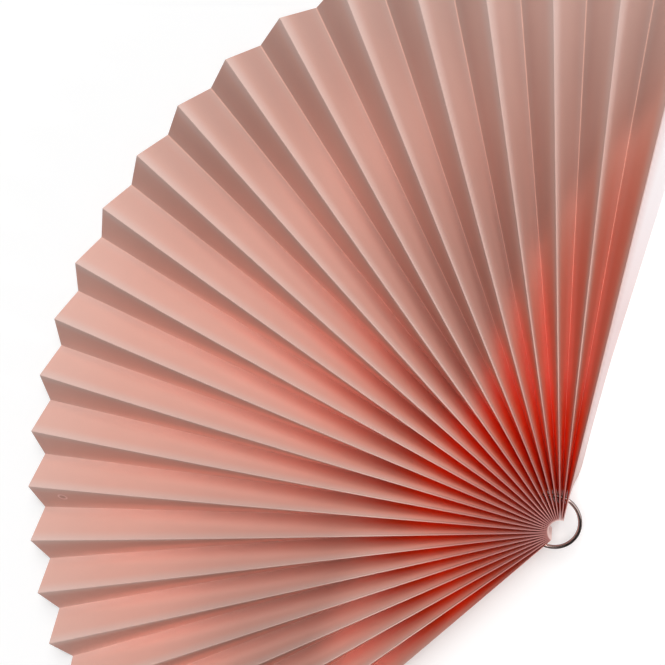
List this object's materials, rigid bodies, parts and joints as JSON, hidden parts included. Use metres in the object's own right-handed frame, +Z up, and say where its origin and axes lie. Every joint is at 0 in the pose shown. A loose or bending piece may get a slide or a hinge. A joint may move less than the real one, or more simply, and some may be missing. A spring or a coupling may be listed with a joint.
{
  "type": "half paper fan decoration",
  "caption": "Sheet of pink paper in concertina pleats, opened to a half fan and gathered at the hub on a chrome wire ring, lying flat.",
  "frame": {"origin": "the hub that every crease points at, on the surface that the fan lies on", "axes": "+Z up out of the surface, +Y along the middle of the fan from the hub to the rim, +X to the right across the fan"},
  "size_m": [0.5796, 0.31, 0.023],
  "materials": {
    "pink_paper": "matt",
    "ring_chrome": "polished"
  },
  "bodies": {
    "root": {"pleated_paper": "pink_paper", "ring": "ring_chrome"}
  },
  "joints": []
}
